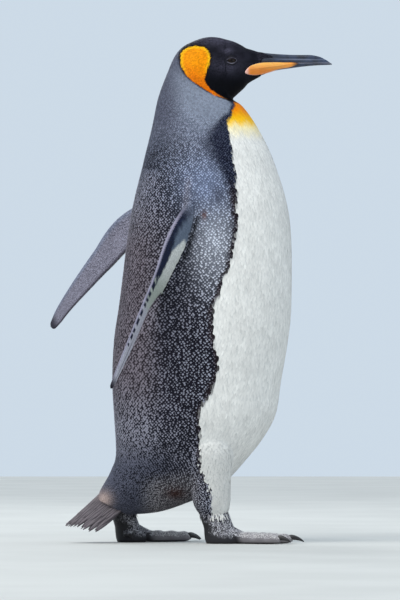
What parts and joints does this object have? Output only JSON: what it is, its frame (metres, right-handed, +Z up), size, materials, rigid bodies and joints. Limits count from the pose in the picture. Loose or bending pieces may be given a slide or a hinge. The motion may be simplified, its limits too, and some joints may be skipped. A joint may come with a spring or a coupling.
{
  "type": "king penguin",
  "caption": "Life-size still model of an adult king penguin in mid stride, head level, flippers swept back, standing on both feet.",
  "frame": {"origin": "on the floor, under the middle of the bird's bounding box", "axes": "+X forward, the way the bill points; +Y to the bird's left; +Z up"},
  "size_m": [0.5012, 0.4537, 0.8854],
  "materials": {
    "head_feathers": "short dense feathers, black with golden orange ear patches, satin",
    "neck_feathers": "short feathers, silvery grey behind, golden to white in front",
    "body_feathers": "small overlapping feathers, slate grey back with pale tips, white breast and belly",
    "leg_feathers": "small feathers, white in front and slate behind",
    "flipper_feathers": "scale-like feathers, slate above and white below",
    "tail_feathers": "stiff narrow feathers, dark slate with pale shafts",
    "bill_horn": "smooth dark horn, satin",
    "bill_plate": "smooth orange horn, satin",
    "eye": "dark brown, wet gloss",
    "foot_skin": "scaly dark skin mottled with grey",
    "claw_horn": "black horn, satin"
  },
  "bodies": {
    "root": {"head": "head_feathers", "neck": "neck_feathers", "trunk": "body_feathers", "tail": "tail_feathers", "leg_right": "leg_feathers", "leg_left": "leg_feathers", "flipper_right": "flipper_feathers", "flipper_left": "flipper_feathers", "bill_upper": "bill_horn", "bill_lower": "bill_horn", "bill_plate_right": "bill_plate", "bill_plate_left": "bill_plate", "eye_right": "eye", "eye_left": "eye", "foot_right": "foot_skin", "foot_left": "foot_skin", "claw_right_inner": "claw_horn", "claw_right_middle": "claw_horn", "claw_right_outer": "claw_horn", "claw_right_hind": "claw_horn", "claw_left_inner": "claw_horn", "claw_left_middle": "claw_horn", "claw_left_outer": "claw_horn", "claw_left_hind": "claw_horn"}
  },
  "joints": []
}
